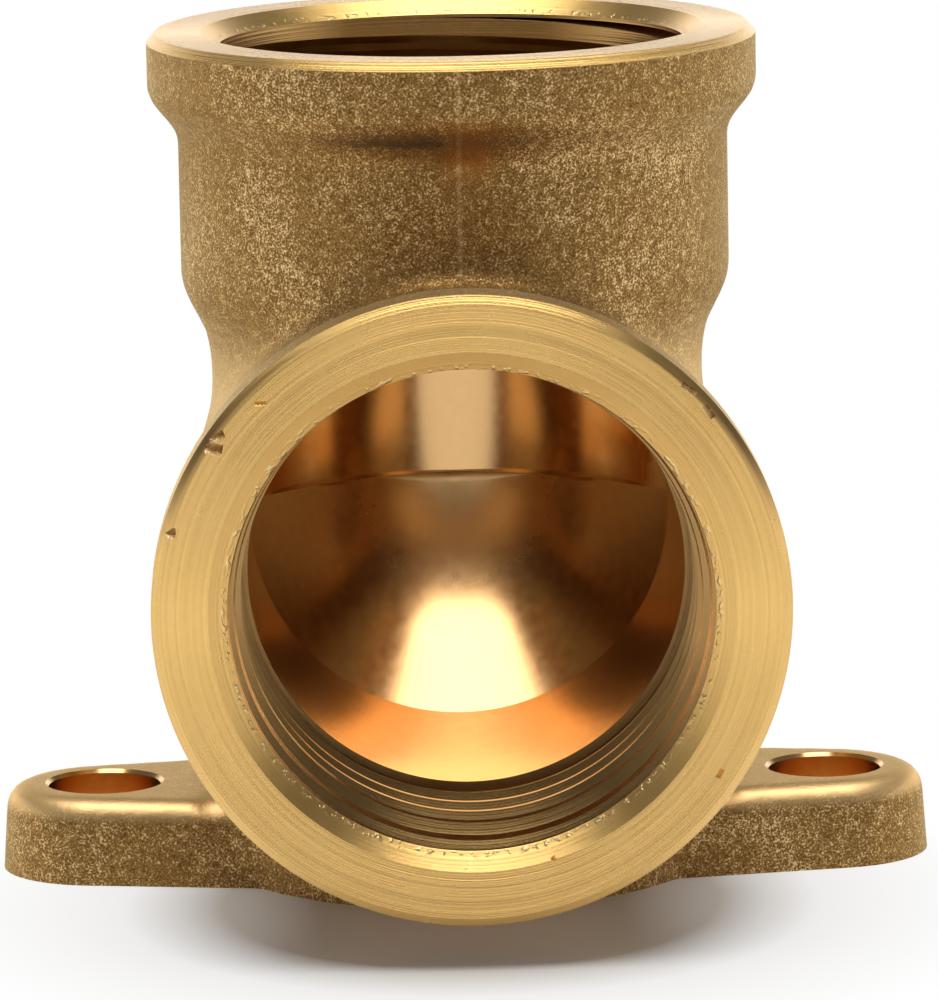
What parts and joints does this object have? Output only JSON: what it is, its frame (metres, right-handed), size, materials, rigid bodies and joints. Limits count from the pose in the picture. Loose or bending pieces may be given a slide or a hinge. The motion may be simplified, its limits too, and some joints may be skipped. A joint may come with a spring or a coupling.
{
  "type": "wall plate elbow",
  "caption": "Cast brass pipe elbow with a female-threaded port facing up, another facing forward, and an oval plate with screw ears that fixes it to a wall.",
  "frame": {"origin": "where the upper port's axis meets the plate's underside, the wall plane", "axes": "+Z along the upper port, away from the wall; -Y along the front port, out of its mouth; X through the two screw holes"},
  "size_m": [0.0398, 0.0344, 0.0359],
  "materials": {
    "brass": "sand-cast skin with machined port faces and bores"
  },
  "bodies": {
    "root": {"elbow_body": "brass"}
  },
  "joints": []
}
